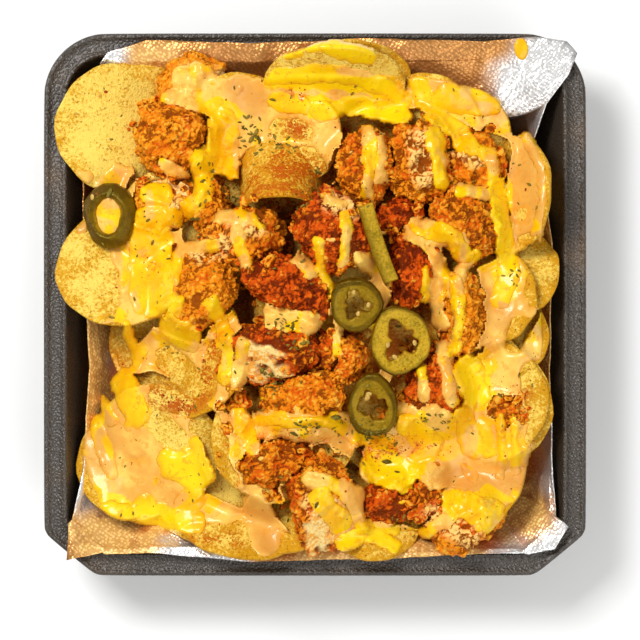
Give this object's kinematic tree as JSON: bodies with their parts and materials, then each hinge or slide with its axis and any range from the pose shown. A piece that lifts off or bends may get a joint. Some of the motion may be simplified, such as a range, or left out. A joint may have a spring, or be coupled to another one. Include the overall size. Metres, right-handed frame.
{
  "type": "loaded nachos in a foil-lined tray",
  "caption": "Loaded nachos in a foil-lined foam tray: a heap of round tortilla chips with cheese sauce, crisp fried chicken and pickled jalapeno slices.",
  "frame": {"origin": "middle of the tray's flat underside", "axes": "+Z up, +Y towards the side with the rounded corners, +X to the right when seen from above with +Y up"},
  "size_m": [0.228, 0.228, 0.0745],
  "materials": {
    "foam_tray": "black bead foam with a slight sheen",
    "foil": "embossed foil, bright",
    "tortilla_chips": "dry, grainy, with glossy sauce over part of it",
    "fried_chicken": "rough craggy crust",
    "jalapeno": "wet skin and flesh"
  },
  "bodies": {
    "root": {"tray": "foam_tray", "foil_liner": "foil", "chip_heap": "tortilla_chips", "chicken_01": "fried_chicken", "chicken_02": "fried_chicken", "chicken_03": "fried_chicken", "chicken_04": "fried_chicken", "chicken_05": "fried_chicken", "chicken_06": "fried_chicken", "chicken_07": "fried_chicken", "chicken_08": "fried_chicken", "chicken_09": "fried_chicken", "chicken_10": "fried_chicken", "chicken_11": "fried_chicken", "chicken_12": "fried_chicken", "chicken_13": "fried_chicken", "chicken_14": "fried_chicken", "chicken_15": "fried_chicken", "chicken_16": "fried_chicken", "chicken_17": "fried_chicken", "chicken_18": "fried_chicken", "chicken_19": "fried_chicken", "chicken_20": "fried_chicken", "chicken_21": "fried_chicken", "chicken_22": "fried_chicken", "chicken_23": "fried_chicken", "chicken_24": "fried_chicken", "chicken_25": "fried_chicken", "chicken_26": "fried_chicken", "chicken_27": "fried_chicken", "chicken_28": "fried_chicken", "chicken_29": "fried_chicken", "jalapeno_1": "jalapeno", "jalapeno_2": "jalapeno", "jalapeno_3": "jalapeno", "jalapeno_4": "jalapeno", "jalapeno_strip": "jalapeno"}
  },
  "joints": []
}
